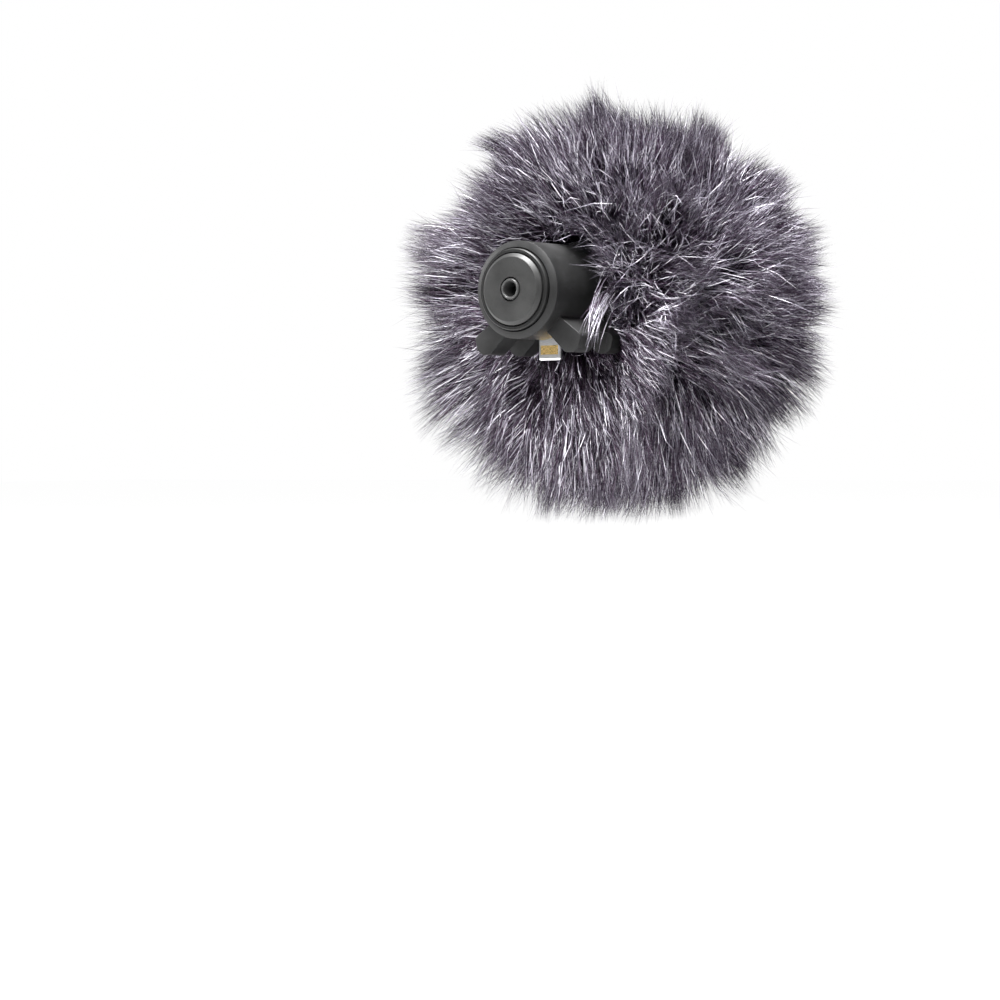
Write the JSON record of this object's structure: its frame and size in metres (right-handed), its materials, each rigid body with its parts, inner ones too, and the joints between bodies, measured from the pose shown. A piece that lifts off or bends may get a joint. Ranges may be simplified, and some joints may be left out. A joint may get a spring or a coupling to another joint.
{
  "type": "furry windscreen on a compact phone microphone",
  "caption": "Long-pile fur windscreen with foam liner and elastic cuff, fitted on a short cylindrical phone microphone with a rubber clip that straddles the phone's end.",
  "frame": {"origin": "middle of the plug's shoulder, the flat face that rests on the phone's end", "axes": "+Y along the microphone from its headphone socket to the windscreen, +Z away from the phone, +X to the right seen from the socket end"},
  "size_m": [0.098, 0.0969, 0.098],
  "materials": {
    "fur": "matte, long pile",
    "backing": "matte, woven",
    "foam": "matte, open cell",
    "elastic": "matte",
    "knit": "matte, ribbed",
    "clip_rubber": "matte, fine grain",
    "anodised": "fine matte anodised",
    "soft_rubber": "matte",
    "moulded": "matte",
    "steel": "satin",
    "gold": "plated",
    "board": "solder mask",
    "chip": "matte",
    "wire": "satin"
  },
  "bodies": {
    "microphone": {"body_tube": "anodised", "front_grille": "anodised", "rear_cap": "anodised", "rear_seal": "soft_rubber", "socket_ferrule": "steel", "socket_body": "moulded", "socket_tip_contact": "gold", "socket_ring_contact": "gold", "socket_sleeve_contact": "gold", "grille_mesh": "steel", "front_mesh": "steel", "capsule_foam": "foam", "capsule": "steel", "capsule_boot": "soft_rubber", "capsule_lead_left": "wire", "capsule_lead_right": "wire", "circuit_board": "board", "audio_codec_chip": "chip", "controller_chip": "chip", "crystal": "steel", "capacitor_left_back": "steel", "capacitor_left_front": "steel", "capacitor_right_back": "steel", "capacitor_right_front": "steel", "chassis": "moulded", "board_screw_1": "steel", "board_screw_2": "steel", "plug_base": "moulded", "plug_tab": "steel", "plug_contacts_back": "gold", "plug_contacts_front": "gold", "plug_board": "board", "board_connector": "moulded"},
    "phone_clip_body": {"phone_clip": "clip_rubber"},
    "windscreen": {"fur_panel_top": "fur", "fur_panel_right": "fur", "fur_panel_bottom": "fur", "fur_panel_left": "fur", "fur_backing": "backing", "foam_liner": "foam", "cuff_band": "knit", "cuff_elastic": "elastic"}
  },
  "joints": [
    {"name": "clip_slide", "type": "slide", "parent": "microphone", "child": "phone_clip_body", "axis": [0, -1, 0], "range_m": [0, 0.03]},
    {"name": "windscreen_slide", "type": "slide", "parent": "microphone", "child": "windscreen", "axis": [0, 1, 0], "range_m": [0, 0.06]}
  ]
}
